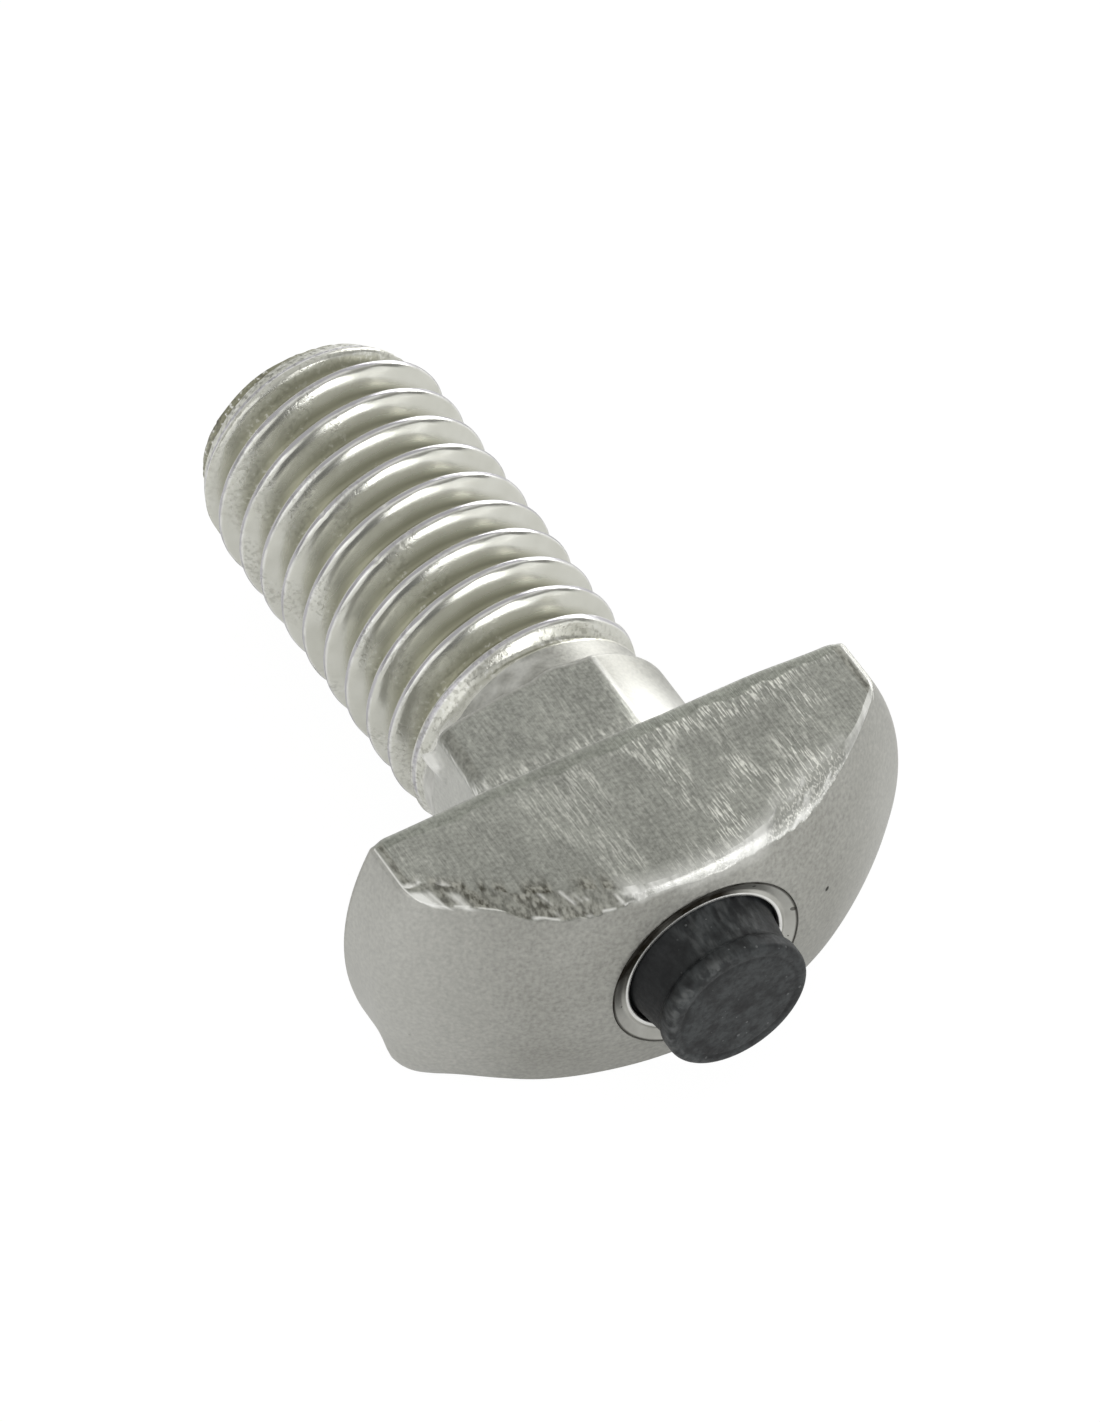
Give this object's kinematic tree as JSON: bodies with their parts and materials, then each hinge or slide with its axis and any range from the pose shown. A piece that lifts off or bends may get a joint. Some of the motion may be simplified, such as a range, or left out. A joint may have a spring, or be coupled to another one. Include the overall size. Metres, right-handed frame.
{
  "type": "hammer head bolt",
  "caption": "Hammer head bolt: domed T head with parallel flats, neck with diagonal corners rounded, rolled thread, and a sprung plunger in the dome that steadies it in a profile slot.",
  "frame": {"origin": "on the bolt's axis, in the plane of the under-head seat", "axes": "+Y along the shank from the seat to the thread's tip, +X along the head's length, +Z square to the head's flats and up as the bolt lies"},
  "size_m": [0.0172, 0.0253, 0.0078],
  "materials": {
    "bolt_steel": "satin, plated",
    "sleeve_steel": "satin",
    "pin_plastic": "matt, dusty",
    "spring_steel": "bright drawn wire"
  },
  "bodies": {
    "bolt": {"bolt": "bolt_steel", "plunger_sleeve": "sleeve_steel", "plunger_spring": "spring_steel"},
    "pin": {"plunger_pin": "pin_plastic"}
  },
  "joints": [
    {"name": "plunger_slide", "type": "slide", "parent": "bolt", "child": "pin", "axis": [0, 1, 0], "range_m": [0, 0.0014], "stiffness_N_per_m": 800, "springref_m": -0.003, "deforming": ["plunger_spring"]}
  ]
}
